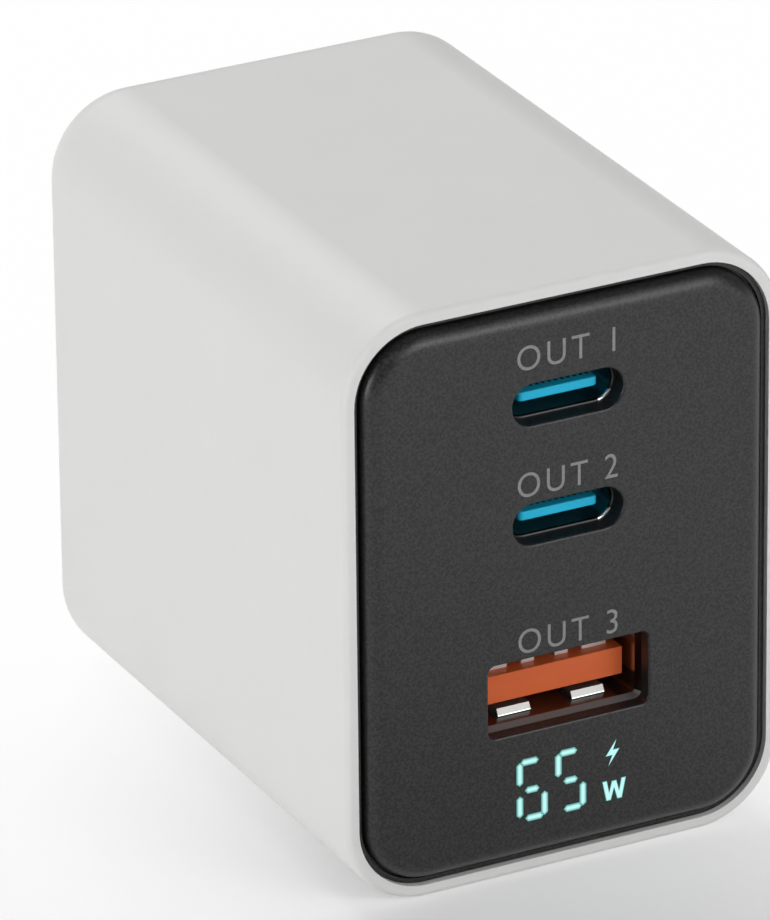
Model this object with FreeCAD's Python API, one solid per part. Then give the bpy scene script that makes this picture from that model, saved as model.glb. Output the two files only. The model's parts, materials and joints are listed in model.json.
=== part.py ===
import FreeCAD, Part
import math
import os
from FreeCAD import Vector

# Compact wall charger, in millimetres.
# The front panel faces -Y, +X is to the right of it and +Z is up.
# The origin is on the bottom face, in the middle of the overall width and depth.

# Case
CASE_WIDTH = 35.0
CASE_HEIGHT = 45.6
CASE_DEPTH = 48.9
CORNER_RADIUS = 6.4
BACK_EDGE_RADIUS = 2.6
BAY_EDGE_RADIUS = 0.3
RIM_EDGE_RADIUS = 0.45
RIM_WIDTH = 0.95
WALL = 1.9
BACK_WALL = 2.2

# Front panel
PANEL_CLEARANCE = 0.05
PANEL_SEAT_DEPTH = 2.6
LEDGE_SINK = 0.45
LEDGE_WIDTH = 0.35
GROOVE_WIDTH = 0.16
GROOVE_DEPTH = 0.95
FIELD_RISE = 0.7
FIELD_EDGE_RADIUS = 1.3
FACE_THICKNESS = 1.8
SKIRT_WIDTH = 1.3
CUTOUT_EDGE_RADIUS = 0.2
CUTOUT_LIP = 0.05
SHELL_SEAT_CLEARANCE = 0.05

# Slim ports, with their centres below the top of the case
SLIM_PORT_DROPS = (8.6, 17.85)
SLIM_SHELL_WIDTH = 8.94
SLIM_SHELL_HEIGHT = 3.26
SLIM_SHELL_LENGTH = 9.3
SLIM_SHEET = 0.25
SLIM_LIP_RADIUS = 0.2
SLIM_MOUTH_DEPTH = 1.45
SLIM_LEG_WIDTH = 1.4
SLIM_TONGUE_WIDTH = 6.3
SLIM_TONGUE_THICKNESS = 0.7
SLIM_TONGUE_LENGTH = 6.2
SLIM_TONGUE_SETBACK = 0.1
SLIM_NOSE_RADIUS = 0.35
SLIM_NOSE_EDGE_RADIUS = 0.1
SLIM_CONTACT_COUNT = 12
SLIM_CONTACT_PITCH = 0.5
SLIM_CONTACT_WIDTH = 0.25
SLIM_CONTACT_THICKNESS = 0.12
SLIM_CONTACT_SETBACK = 0.75

# Wide port, with its centre above the bottom of the case
WIDE_PORT_Z = 14.44
WIDE_SHELL_WIDTH = 13.05
WIDE_SHELL_HEIGHT = 5.82
WIDE_SHELL_LENGTH = 13.7
WIDE_SHELL_RADIUS = 0.6
WIDE_SHEET = 0.3
WIDE_LEAD_WIDTH = 0.25
WIDE_LEAD_DEPTH = 0.55
WIDE_MOUTH_DEPTH = 1.1
WIDE_TONGUE_WIDTH = 11.6
WIDE_TONGUE_THICKNESS = 2.15
WIDE_TONGUE_DROP = 0.45
WIDE_TONGUE_LENGTH = 8.2
WIDE_TONGUE_SETBACK = 1.7
WIDE_CONTACT_THICKNESS = 0.5
WIDE_CONTACT_RISE = 0.35
WIDE_CONTACT_SETBACK = 0.95
SIGNAL_CONTACT_SPACING = 2.74
SIGNAL_CONTACT_WIDTH = 1.05
POWER_CONTACT_SPACING = 8.06
POWER_CONTACT_WIDTH = 1.95
FINGER_WIDTH = 2.62
FINGER_SPACING = 6.0
FINGER_LENGTH = 5.0
FINGER_SETBACK = 1.6
FINGER_RISE = 0.51
FINGER_RAMP = 0.25
FINGER_SLOT_CLEARANCE = 0.2

# Fit of a moulding in a metal shell
INSULATOR_CLEARANCE = 0.05

# Readout, with its centre above the bottom of the case
DISPLAY_Z = 7.0
DISPLAY_WIDTH = 11.2
DISPLAY_HEIGHT = 7.2
DISPLAY_DEPTH = 6.0
DISPLAY_FILM = 0.5
DISPLAY_CLEARANCE = 0.1
DIGIT_WIDTH = 2.6
DIGIT_HEIGHT = 5.2
DIGIT_CENTRES = (-3.02, 0.1)
BAR_WIDTH = 0.55
BAR_GAP = 0.15
BAR_DEPTH = 4.0
UNIT_CENTRE = 3.6
UNIT_WIDTH = 2.0
UNIT_HEIGHT = 1.7
UNIT_SPACING = 3.0
PIN_SIZE = 0.5
DISPLAY_PIN_COUNT = 5
DISPLAY_PIN_PITCH = 2.0
DISPLAY_PIN_ROWS = 5.0

# Boards
BOARD_THICKNESS = 1.2
BOARD_STANDOFF = 2.0
BOARD_CLEARANCE = 0.3
BOARD_SIDE_MARGIN = 1.1
RAIL_DEPTH = 2.3
RAIL_LIP = 1.6
RAIL_LIP_HEIGHT = 1.0
RAIL_CLEARANCE = 0.1
LINK_PIN_COUNT = 8
LINK_PIN_PITCH = 2.0
LINK_PIN_LEG = 1.6

# Power parts on the main board
PART_CLEARANCE = 0.3
CORE_GAP = 3.4
CORE_HEIGHT = 22.0
CORE_DEPTH = 6.0
CORE_LEG = 2.4
CORE_CENTRE_LEG = 5.0
CORE_YOKE = 3.0
WINDING_DEPTH = 9.0
WINDING_EDGE_RADIUS = 1.5
WINDING_CLEARANCE = 0.1
TRANSFORMER_BASE = 1.6
BULK_DIAMETER = 8.0
BULK_HEIGHT = 20.0
BULK_COUNT = 2
CAN_EDGE_RADIUS = 0.6
CAN_GROOVE_RISE = 2.0
CAN_GROOVE_RADIUS = 0.35
OUTPUT_DIAMETER = 6.3
OUTPUT_LENGTH = 8.0
OUTPUT_SPACING = 7.0
FILM_WIDTH = 6.2
FILM_LENGTH = 8.0
FILM_HEIGHT = 10.5
FILM_EDGE_RADIUS = 0.5
CHOKE_DIAMETER = 9.0
CHOKE_BORE = 4.4
CHOKE_THICKNESS = 4.0
CHOKE_WIRE = 0.8
CHOKE_TURN_COUNT = 5
CHOKE_TURN_ANGLE = 22.0
CHOKE_BANK_ANGLES = (90, 270)
BRIDGE_WIDTH = 4.4
BRIDGE_LENGTH = 4.6
BRIDGE_HEIGHT = 1.5
FUSE_DIAMETER = 2.6
FUSE_LENGTH = 6.0
SWITCH_SIZE = 6.0
SWITCH_HEIGHT = 0.9
SWITCH_SPACING = 9.0
SPREADER_SHEET = 0.8
SPREADER_TOP_GAP = 1.5
PAD_MARGIN = 3.0

# Folding plug
BLADE_WIDTH = 6.35
BLADE_THICKNESS = 1.52
BLADE_SPACING = 12.7
BLADE_REACH = 16.5
BLADE_TIP_RADIUS = 1.6
BLADE_HOLE_DIAMETER = 3.2
BLADE_HOLE_REACH = 11.7
BLADE_TAIL_WIDTH = 3.0
BLADE_SINK = 0.2
SLOT_SIDE_CLEARANCE = 0.25
SLOT_END_CLEARANCE = 0.3
SLOT_WALL = 1.2
PLUG_AXIS_HEIGHT = 31.2
PLUG_AXIS_DEPTH = 5.4
BARREL_RADIUS = 4.4
BARREL_OVERHANG = 2.85
BARREL_CLEARANCE = 0.25
CHANNEL_WALL = 1.5
TRUNNION_RADIUS = 2.0
TRUNNION_CLEARANCE = 0.08
EAR_THICKNESS = 1.8
SCOOP_RADIUS = 6.0
SCOOP_DEPTH = 2.6
SCOOP_WIDTH = 22.0
SCOOP_ABOVE_TIP = 1.5
SCOOP_WALL = 1.6
SPRING_SHEET = 0.4
SPRING_WIDTH = 3.0
SPRING_GAP = 0.15
SPRING_TOP = 3.5
SPRING_FOOT = 2.0
FRAME_THICKNESS = 1.8
FRAME_CLEARANCE = 0.6
SADDLE_CLEARANCE = 0.1
SCREW_EDGE = 1.8
SCREW_RISE = 4.2
SCREW_RADIUS = 1.0
SCREW_LENGTH = 6.0
SCREW_HEAD_RADIUS = 1.8
SCREW_HEAD_HEIGHT = 1.2
SCREW_CLEARANCE = 0.05
BOSS_RADIUS = 2.2

# Planes and centres that follow from the sizes above
OVERALL_DEPTH = CASE_DEPTH + FIELD_RISE
FACE_CENTRE = CASE_HEIGHT / 2
FIELD_Y = -OVERALL_DEPTH / 2
RIM_Y = FIELD_Y + FIELD_RISE
BACK_Y = OVERALL_DEPTH / 2
BACK_INNER_Y = BACK_Y - BACK_WALL
SEAT_Y = RIM_Y + PANEL_SEAT_DEPTH
FACE_BACK_Y = FIELD_Y + FACE_THICKNESS
SLIM_MOUTH_Y = FIELD_Y + SLIM_MOUTH_DEPTH
WIDE_MOUTH_Y = FIELD_Y + WIDE_MOUTH_DEPTH
SLIM_PORT_CENTRES = [CASE_HEIGHT - drop for drop in SLIM_PORT_DROPS]
DISPLAY_FRONT_Y = FIELD_Y + DISPLAY_FILM
INNER_HALF_WIDTH = CASE_WIDTH / 2 - WALL
PORT_BOARD_Y = WIDE_MOUTH_Y + WIDE_SHELL_LENGTH
PORT_BOARD_BACK_Y = PORT_BOARD_Y + BOARD_THICKNESS
BOARD_Z = WALL + BOARD_STANDOFF
BOARD_TOP_Z = BOARD_Z + BOARD_THICKNESS
BOARD_HALF_WIDTH = INNER_HALF_WIDTH - BOARD_SIDE_MARGIN
SCOOP_PAD_Y = BACK_Y - SCOOP_DEPTH - SCOOP_WALL
BOARD_REAR_Y = SCOOP_PAD_Y - BOARD_CLEARANCE
PARTS_FRONT_Y = PORT_BOARD_BACK_Y + LINK_PIN_LEG + PART_CLEARANCE
PARTS_HALF_WIDTH = INNER_HALF_WIDTH - RAIL_LIP - PART_CLEARANCE
CORE_WIDTH = 2 * PARTS_HALF_WIDTH - BULK_DIAMETER - CORE_GAP

# The blade's offset from the axis lays its outer edge just below the back face when folded
PLUG_AXIS_Y = BACK_Y - PLUG_AXIS_DEPTH
BLADE_OUTER = PLUG_AXIS_DEPTH - BLADE_SINK
BLADE_INNER = BLADE_OUTER - BLADE_WIDTH
BLADE_LENGTH = PLUG_AXIS_DEPTH + BLADE_REACH
BLADE_TIP_Z = PLUG_AXIS_HEIGHT - BLADE_LENGTH
BLADE_SIDES = (-BLADE_SPACING / 2, BLADE_SPACING / 2)
SLOT_HALF_WIDTH = BLADE_THICKNESS / 2 + SLOT_SIDE_CLEARANCE
SLOT_RADIUS = BLADE_OUTER + SLOT_SIDE_CLEARANCE
SLOT_FLOOR_Y = PLUG_AXIS_Y + BLADE_INNER - SLOT_END_CLEARANCE
SLOT_BOTTOM_Z = BLADE_TIP_Z - SLOT_END_CLEARANCE
BARREL_HALF_LENGTH = BLADE_SPACING / 2 + BARREL_OVERHANG
CHANNEL_RADIUS = BARREL_RADIUS + BARREL_CLEARANCE
CHANNEL_HALF_LENGTH = BARREL_HALF_LENGTH + BARREL_CLEARANCE
CHANNEL_OUTER = CHANNEL_RADIUS + CHANNEL_WALL
EAR_OUTER_X = CHANNEL_HALF_LENGTH + EAR_THICKNESS
SPRING_BACK_Y = PLUG_AXIS_Y - BARREL_RADIUS - SPRING_GAP
FRAME_Y = SPRING_BACK_Y - SPRING_SHEET
FRAME_INNER_Y = FRAME_Y - FRAME_THICKNESS
REAR_PARTS_Y = FRAME_Y - SPRING_FOOT - PART_CLEARANCE
FRAME_HALF_WIDTH = INNER_HALF_WIDTH - FRAME_CLEARANCE
SCOOP_Z = BLADE_TIP_Z + SCOOP_ABOVE_TIP


# Building blocks

SAME_PLACE = 1e-6

def box(x_span, y_span, z_span):
    corner = Vector(x_span[0], y_span[0], z_span[0])
    return Part.makeBox(x_span[1] - x_span[0], y_span[1] - y_span[0], z_span[1] - z_span[0], corner)


def around(centre, size):
    return (centre - size / 2, centre + size / 2)


def rod(radius, start, end):
    return Part.makeCylinder(radius, (end - start).Length, start, end - start)


def rod_along_x(radius, x_span, y, z):
    return rod(radius, Vector(x_span[0], y, z), Vector(x_span[1], y, z))


def rounded_outline(width, height, radius, y, centre_x, centre_z):
    edges = []
    last_point = None
    for turn in (0, 90, 180, 270):
        side_x = 1 if turn in (0, 270) else -1
        side_z = 1 if turn in (0, 90) else -1
        corner_x = centre_x + side_x * (width / 2 - radius)
        corner_z = centre_z + side_z * (height / 2 - radius)
        corner = Vector(corner_x, y, corner_z)
        points = []
        for step in (0, 45, 90):
            angle = math.radians(turn + step)
            points.append(corner + Vector(math.cos(angle), 0, math.sin(angle)) * radius)
        if last_point and last_point.distanceToPoint(points[0]) > SAME_PLACE:
            edges.append(Part.makeLine(last_point, points[0]))
        edges.append(Part.Arc(*points).toShape())
        last_point = points[-1]
    first_point = edges[0].valueAt(edges[0].FirstParameter)
    if last_point.distanceToPoint(first_point) > SAME_PLACE:
        edges.append(Part.makeLine(last_point, first_point))
    return Part.Wire(edges)


def rounded_slab(width, height, radius, y_span, centre_z, centre_x=0.0):
    outline = rounded_outline(width, height, radius, y_span[0], centre_x, centre_z)
    return Part.Face(outline).extrude(Vector(0, y_span[1] - y_span[0], 0))


def case_slab(inset, y_span):
    width = CASE_WIDTH - 2 * inset
    height = CASE_HEIGHT - 2 * inset
    return rounded_slab(width, height, CORNER_RADIUS - inset, y_span, FACE_CENTRE)


def side_profile(points, x_span):
    corners = [Vector(x_span[0], y, z) for y, z in points]
    outline = Part.makePolygon(corners + corners[:1])
    return Part.Face(outline).extrude(Vector(x_span[1] - x_span[0], 0, 0))


def edges_at_y(shape, y):
    return [edge for edge in shape.Edges if all(abs(v.Y - y) < SAME_PLACE for v in edge.Vertexes)]


def edges_at_z(shape, z):
    return [edge for edge in shape.Edges if all(abs(v.Z - z) < SAME_PLACE for v in edge.Vertexes)]


def upright_edges(shape):
    return [edge for edge in shape.Edges if edge.BoundBox.ZLength > edge.Length - SAME_PLACE]


def edges_within(edges, half_width, half_height, centre_z):
    found = []
    for edge in edges:
        reach_x = max(abs(v.X) for v in edge.Vertexes)
        reach_z = max(abs(v.Z - centre_z) for v in edge.Vertexes)
        if reach_x < half_width + SAME_PLACE and reach_z < half_height + SAME_PLACE:
            found.append(edge)
    return found


def edges_along_x(edges):
    return [edge for edge in edges if edge.BoundBox.XLength > edge.Length - SAME_PLACE]


def row_of(count, pitch):
    return [(index - (count - 1) / 2) * pitch for index in range(count)]


def joined(pieces):
    return pieces[0].fuse(pieces[1:]).removeSplitter()


# Case and front panel

def make_main_case():
    body = case_slab(0, (RIM_Y, BACK_Y))
    body = body.makeFillet(BACK_EDGE_RADIUS, edges_at_y(body, BACK_Y))
    body = body.makeFillet(RIM_EDGE_RADIUS, edges_at_y(body, RIM_Y))
    cavity = case_slab(WALL, (RIM_Y, BACK_INNER_Y))
    seat = case_slab(RIM_WIDTH, (RIM_Y, SEAT_Y))
    additions = [piece.common(body) for piece in board_rails() + plug_bay_walls()]
    case = joined([body.cut([cavity, seat])] + additions)
    case = case.cut(plug_bay_cuts()).removeSplitter()
    bay_edges = edges_within(edges_at_y(case, BACK_Y), SCOOP_WIDTH / 2, FACE_CENTRE, FACE_CENTRE)
    return case.makeFillet(BAY_EDGE_RADIUS, bay_edges)


def board_rails():
    rails = []
    y_span = (PORT_BOARD_BACK_Y + BOARD_CLEARANCE, BACK_Y)
    for side in (-1, 1):
        shelf_x = sorted((side * (INNER_HALF_WIDTH - RAIL_DEPTH), side * CASE_WIDTH / 2))
        lip_x = sorted((side * (INNER_HALF_WIDTH - RAIL_LIP), side * CASE_WIDTH / 2))
        lip_bottom = BOARD_TOP_Z + RAIL_CLEARANCE
        rails.append(box(shelf_x, y_span, (0, BOARD_Z)))
        rails.append(box(lip_x, y_span, (lip_bottom, lip_bottom + RAIL_LIP_HEIGHT)))
    return rails


def plug_bay_walls():
    bay_z = around(PLUG_AXIS_HEIGHT, 2 * CHANNEL_OUTER)
    walls = [box((-EAR_OUTER_X, EAR_OUTER_X), (FRAME_Y, BACK_Y), bay_z)]
    for x in BLADE_SIDES:
        well_x = around(x, 2 * (SLOT_HALF_WIDTH + SLOT_WALL))
        well_z = (SLOT_BOTTOM_Z - SLOT_WALL, PLUG_AXIS_HEIGHT)
        walls.append(box(well_x, (SLOT_FLOOR_Y - SLOT_WALL, BACK_Y), well_z))
    for foot in screw_places(FRAME_Y):
        walls.append(rod(BOSS_RADIUS, foot, foot + Vector(0, BACK_INNER_Y - FRAME_Y, 0)))
    pad_x = (-SCOOP_WIDTH / 2 - SCOOP_WALL, SCOOP_WIDTH / 2 + SCOOP_WALL)
    pad_z = around(SCOOP_Z, 2 * (scoop_half_height() + SCOOP_WALL))
    walls.append(box(pad_x, (SCOOP_PAD_Y, BACK_Y), pad_z))
    return walls


def screw_places(y):
    """Two opposite corners of the plug frame."""
    reach = FRAME_HALF_WIDTH - SCREW_EDGE
    return [Vector(side * reach, y, PLUG_AXIS_HEIGHT + side * SCREW_RISE) for side in (-1, 1)]


def scoop_half_height():
    return math.sqrt(SCOOP_RADIUS ** 2 - (SCOOP_RADIUS - SCOOP_DEPTH) ** 2)


def plug_bay_cuts():
    cuts = []
    channel_x = (-CHANNEL_HALF_LENGTH, CHANNEL_HALF_LENGTH)
    channel_z = around(PLUG_AXIS_HEIGHT, 2 * CHANNEL_RADIUS)
    cuts.append(rod_along_x(CHANNEL_RADIUS, channel_x, PLUG_AXIS_Y, PLUG_AXIS_HEIGHT))
    cuts.append(box(channel_x, (FRAME_Y, PLUG_AXIS_Y), channel_z))
    notch_radius = TRUNNION_RADIUS + TRUNNION_CLEARANCE
    notch_x = (-EAR_OUTER_X, EAR_OUTER_X)
    cuts.append(rod_along_x(notch_radius, notch_x, PLUG_AXIS_Y, PLUG_AXIS_HEIGHT))
    cuts.append(box(notch_x, (FRAME_Y, PLUG_AXIS_Y), around(PLUG_AXIS_HEIGHT, 2 * notch_radius)))
    for x in BLADE_SIDES:
        cuts.extend(blade_slot(x))
        relief_x = around(x, SPRING_WIDTH + 2 * FRAME_CLEARANCE)
        relief_z = (PLUG_AXIS_HEIGHT - CHANNEL_OUTER, PLUG_AXIS_HEIGHT)
        cuts.append(box(relief_x, (FRAME_Y, SPRING_BACK_Y + SPRING_GAP), relief_z))
    for mouth in screw_places(FRAME_Y):
        cuts.append(rod(SCREW_RADIUS + SCREW_CLEARANCE, mouth, mouth + Vector(0, SCREW_LENGTH, 0)))
    scoop_y = BACK_Y + SCOOP_RADIUS - SCOOP_DEPTH
    cuts.append(rod_along_x(SCOOP_RADIUS, (-SCOOP_WIDTH / 2, SCOOP_WIDTH / 2), scoop_y, SCOOP_Z))
    return cuts


def blade_slot(x):
    slot_x = around(x, 2 * SLOT_HALF_WIDTH)
    folded = box(slot_x, (SLOT_FLOOR_Y, BACK_Y), (SLOT_BOTTOM_Z, PLUG_AXIS_HEIGHT))
    swing = rod_along_x(SLOT_RADIUS, slot_x, PLUG_AXIS_Y, PLUG_AXIS_HEIGHT)
    unfolded = box(slot_x, (PLUG_AXIS_Y, BACK_Y), (PLUG_AXIS_HEIGHT, PLUG_AXIS_HEIGHT + SLOT_RADIUS))
    return [folded, swing, unfolded]


def make_front_panel():
    outer = RIM_WIDTH + PANEL_CLEARANCE
    groove_outer = outer + LEDGE_WIDTH
    field_inset = groove_outer + GROOVE_WIDTH
    groove_y = RIM_Y + GROOVE_DEPTH
    ledge = case_slab(outer, (RIM_Y + LEDGE_SINK, SEAT_Y))
    ledge = ledge.cut(case_slab(groove_outer, (RIM_Y, groove_y)))
    field = case_slab(field_inset, (FIELD_Y, SEAT_Y))
    field = field.makeFillet(FIELD_EDGE_RADIUS, edges_at_y(field, FIELD_Y))
    panel = joined([ledge, field])
    pocket = case_slab(outer + SKIRT_WIDTH, (FACE_BACK_Y, SEAT_Y))
    panel = panel.cut([pocket, display_pocket()] + port_cutouts() + shell_seats()).removeSplitter()
    return panel.makeFillet(CUTOUT_EDGE_RADIUS, cutout_edges(panel))


def display_pocket():
    pocket_x = around(0, DISPLAY_WIDTH + 2 * DISPLAY_CLEARANCE)
    pocket_z = around(DISPLAY_Z, DISPLAY_HEIGHT + 2 * DISPLAY_CLEARANCE)
    return box(pocket_x, (DISPLAY_FRONT_Y, FACE_BACK_Y), pocket_z)


def port_cutouts():
    y_span = (FIELD_Y, FACE_BACK_Y)
    slim_width = SLIM_SHELL_WIDTH - 2 * CUTOUT_LIP
    slim_height = SLIM_SHELL_HEIGHT - 2 * CUTOUT_LIP
    wide_width = WIDE_SHELL_WIDTH - 2 * CUTOUT_LIP
    wide_height = WIDE_SHELL_HEIGHT - 2 * CUTOUT_LIP
    cutouts = [rounded_slab(wide_width, wide_height, WIDE_SHELL_RADIUS, y_span, WIDE_PORT_Z)]
    for centre_z in SLIM_PORT_CENTRES:
        cutouts.append(rounded_slab(slim_width, slim_height, slim_height / 2, y_span, centre_z))
    return cutouts


def shell_seats():
    """Shallow pockets in the back of the panel that hold the mouths of the port shells."""
    margin = 2 * SHELL_SEAT_CLEARANCE
    wide_y = (WIDE_MOUTH_Y, FACE_BACK_Y)
    wide_radius = WIDE_SHELL_RADIUS + SHELL_SEAT_CLEARANCE
    wide_size = (WIDE_SHELL_WIDTH + margin, WIDE_SHELL_HEIGHT + margin)
    seats = [rounded_slab(*wide_size, wide_radius, wide_y, WIDE_PORT_Z)]
    slim_y = (SLIM_MOUTH_Y, FACE_BACK_Y)
    slim_height = SLIM_SHELL_HEIGHT + margin
    for centre_z in SLIM_PORT_CENTRES:
        seats.append(rounded_slab(SLIM_SHELL_WIDTH + margin, slim_height, slim_height / 2, slim_y, centre_z))
    return seats


def cutout_edges(panel):
    return edges_within(edges_at_y(panel, FIELD_Y), WIDE_SHELL_WIDTH / 2, FACE_CENTRE, FACE_CENTRE)


# Ports

def make_slim_port_shell(centre_z):
    y_span = (SLIM_MOUTH_Y, SLIM_MOUTH_Y + SLIM_SHELL_LENGTH)
    outside = rounded_slab(SLIM_SHELL_WIDTH, SLIM_SHELL_HEIGHT, SLIM_SHELL_HEIGHT / 2, y_span, centre_z)
    bore_height = SLIM_SHELL_HEIGHT - 2 * SLIM_SHEET
    bore_width = SLIM_SHELL_WIDTH - 2 * SLIM_SHEET
    bore = rounded_slab(bore_width, bore_height, bore_height / 2, y_span, centre_z)
    tube = outside.cut(bore)
    lip = edges_within(edges_at_y(tube, SLIM_MOUTH_Y), bore_width / 2, bore_height / 2, centre_z)
    tube = tube.makeFillet(SLIM_LIP_RADIUS, lip)
    legs = []
    for side in (-1, 1):
        leg_x = sorted((side * bore_width / 2, side * SLIM_SHELL_WIDTH / 2))
        leg = box(leg_x, (SLIM_MOUTH_Y + SLIM_TONGUE_LENGTH, PORT_BOARD_Y), around(centre_z, SLIM_LEG_WIDTH))
        legs.append(leg.cut(bore))
    return joined([tube] + legs)


def make_slim_port_insulator(centre_z):
    tongue_y = SLIM_MOUTH_Y + SLIM_TONGUE_SETBACK
    block_y = SLIM_MOUTH_Y + SLIM_TONGUE_LENGTH
    margin = 2 * (SLIM_SHEET + INSULATOR_CLEARANCE)
    block_height = SLIM_SHELL_HEIGHT - margin
    block_width = SLIM_SHELL_WIDTH - margin
    block = rounded_slab(block_width, block_height, block_height / 2, (block_y, PORT_BOARD_Y), centre_z)
    tongue = box(around(0, SLIM_TONGUE_WIDTH), (tongue_y, block_y), around(centre_z, SLIM_TONGUE_THICKNESS))
    nose_corners = [edge for edge in upright_edges(tongue) if edge.BoundBox.YMax < tongue_y + SAME_PLACE]
    tongue = tongue.makeFillet(SLIM_NOSE_RADIUS, nose_corners)
    tongue = tongue.makeFillet(SLIM_NOSE_EDGE_RADIUS, edges_along_x(edges_at_y(tongue, tongue_y)))
    return joined([block, tongue]).cut(slim_contact_strips(centre_z))


def slim_contact_strips(centre_z):
    y_span = (SLIM_MOUTH_Y + SLIM_TONGUE_SETBACK + SLIM_CONTACT_SETBACK, SLIM_MOUTH_Y + SLIM_TONGUE_LENGTH)
    surface = SLIM_TONGUE_THICKNESS / 2
    strips = []
    for x in row_of(SLIM_CONTACT_COUNT, SLIM_CONTACT_PITCH):
        strip_x = around(x, SLIM_CONTACT_WIDTH)
        strips.append(box(strip_x, y_span, (centre_z + surface - SLIM_CONTACT_THICKNESS, centre_z + surface)))
        strips.append(box(strip_x, y_span, (centre_z - surface, centre_z - surface + SLIM_CONTACT_THICKNESS)))
    return strips


def make_wide_port_shell():
    y_span = (WIDE_MOUTH_Y, PORT_BOARD_Y)
    outside = rounded_slab(WIDE_SHELL_WIDTH, WIDE_SHELL_HEIGHT, WIDE_SHELL_RADIUS, y_span, WIDE_PORT_Z)
    bore_width = WIDE_SHELL_WIDTH - 2 * WIDE_SHEET
    bore_height = WIDE_SHELL_HEIGHT - 2 * WIDE_SHEET
    bore = rounded_slab(bore_width, bore_height, WIDE_SHELL_RADIUS - WIDE_SHEET, y_span, WIDE_PORT_Z)
    shell = outside.cut([bore, wide_lead_in(bore_width, bore_height)])
    fingers = []
    for x in row_of(2, FINGER_SPACING):
        for wall in (-1, 1):
            shell = shell.cut(finger_slot(x, wall))
            fingers.append(spring_finger(x, wall))
    return joined([shell] + fingers)


def wide_lead_in(bore_width, bore_height):
    """A funnel at the mouth that guides a plug into the shell."""
    radius = WIDE_SHELL_RADIUS - WIDE_SHEET
    mouth_size = (bore_width + 2 * WIDE_LEAD_WIDTH, bore_height + 2 * WIDE_LEAD_WIDTH)
    mouth = rounded_outline(*mouth_size, radius + WIDE_LEAD_WIDTH, WIDE_MOUTH_Y, 0, WIDE_PORT_Z)
    throat = rounded_outline(bore_width, bore_height, radius, WIDE_MOUTH_Y + WIDE_LEAD_DEPTH, 0, WIDE_PORT_Z)
    return Part.makeLoft([mouth, throat], True, True)


def finger_slot(x, wall):
    front = WIDE_MOUTH_Y + FINGER_SETBACK - FINGER_SLOT_CLEARANCE
    rear = WIDE_MOUTH_Y + FINGER_SETBACK + FINGER_LENGTH
    outer_z = WIDE_PORT_Z + wall * WIDE_SHELL_HEIGHT / 2
    slot_z = sorted((outer_z, outer_z - wall * WIDE_SHEET))
    return box(around(x, FINGER_WIDTH + 2 * FINGER_SLOT_CLEARANCE), (front, rear), slot_z)


def spring_finger(x, wall):
    """A strip bent out of the shell wall: a steep ramp at the tip, then a long slope back to the wall."""
    tip = WIDE_MOUTH_Y + FINGER_SETBACK
    root = tip + FINGER_LENGTH
    outer_z = WIDE_PORT_Z + wall * WIDE_SHELL_HEIGHT / 2
    surface_z = outer_z - wall * WIDE_SHEET
    crest_z = surface_z - wall * FINGER_RISE
    points = [
        (tip, outer_z),
        (tip, surface_z),
        (tip + FINGER_RAMP, crest_z),
        (root, surface_z),
        (root, outer_z),
        (tip + FINGER_RAMP, crest_z + wall * WIDE_SHEET),
    ]
    return side_profile(points, around(x, FINGER_WIDTH))


def make_wide_port_insulator():
    tongue_y = WIDE_MOUTH_Y + WIDE_TONGUE_SETBACK
    block_y = tongue_y + WIDE_TONGUE_LENGTH
    margin = 2 * (WIDE_SHEET + INSULATOR_CLEARANCE)
    block_radius = WIDE_SHELL_RADIUS - margin / 2
    block_width = WIDE_SHELL_WIDTH - margin
    block_height = WIDE_SHELL_HEIGHT - margin
    block = rounded_slab(block_width, block_height, block_radius, (block_y, PORT_BOARD_Y), WIDE_PORT_Z)
    tongue_z = around(WIDE_PORT_Z - WIDE_TONGUE_DROP, WIDE_TONGUE_THICKNESS)
    tongue = box(around(0, WIDE_TONGUE_WIDTH), (tongue_y, block_y), tongue_z)
    return joined([block, tongue]).cut(wide_contact_strips())


def wide_contact_strips():
    tongue_y = WIDE_MOUTH_Y + WIDE_TONGUE_SETBACK
    y_span = (tongue_y + WIDE_CONTACT_SETBACK, tongue_y + WIDE_TONGUE_LENGTH)
    top = WIDE_PORT_Z - WIDE_TONGUE_DROP + WIDE_TONGUE_THICKNESS / 2 + WIDE_CONTACT_RISE
    strip_z = (top - WIDE_CONTACT_THICKNESS, top)
    strips = []
    for x in row_of(2, SIGNAL_CONTACT_SPACING):
        strips.append(box(around(x, SIGNAL_CONTACT_WIDTH), y_span, strip_z))
    for x in row_of(2, POWER_CONTACT_SPACING):
        strips.append(box(around(x, POWER_CONTACT_WIDTH), y_span, strip_z))
    return strips


# Readout

def make_display_module():
    y_span = (DISPLAY_FRONT_Y, DISPLAY_FRONT_Y + DISPLAY_DEPTH)
    module = box(around(0, DISPLAY_WIDTH), y_span, around(DISPLAY_Z, DISPLAY_HEIGHT))
    return module.cut(light_bars())


def light_bars():
    bars = []
    for x in DIGIT_CENTRES:
        bars.extend(digit_bars(x))
    for side in (-1, 1):
        unit_z = around(DISPLAY_Z + side * UNIT_SPACING / 2, UNIT_HEIGHT)
        bars.append(box(around(UNIT_CENTRE, UNIT_WIDTH), light_bar_span(), unit_z))
    return bars


def light_bar_span():
    return (DISPLAY_FRONT_Y, DISPLAY_FRONT_Y + BAR_DEPTH)


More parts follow.
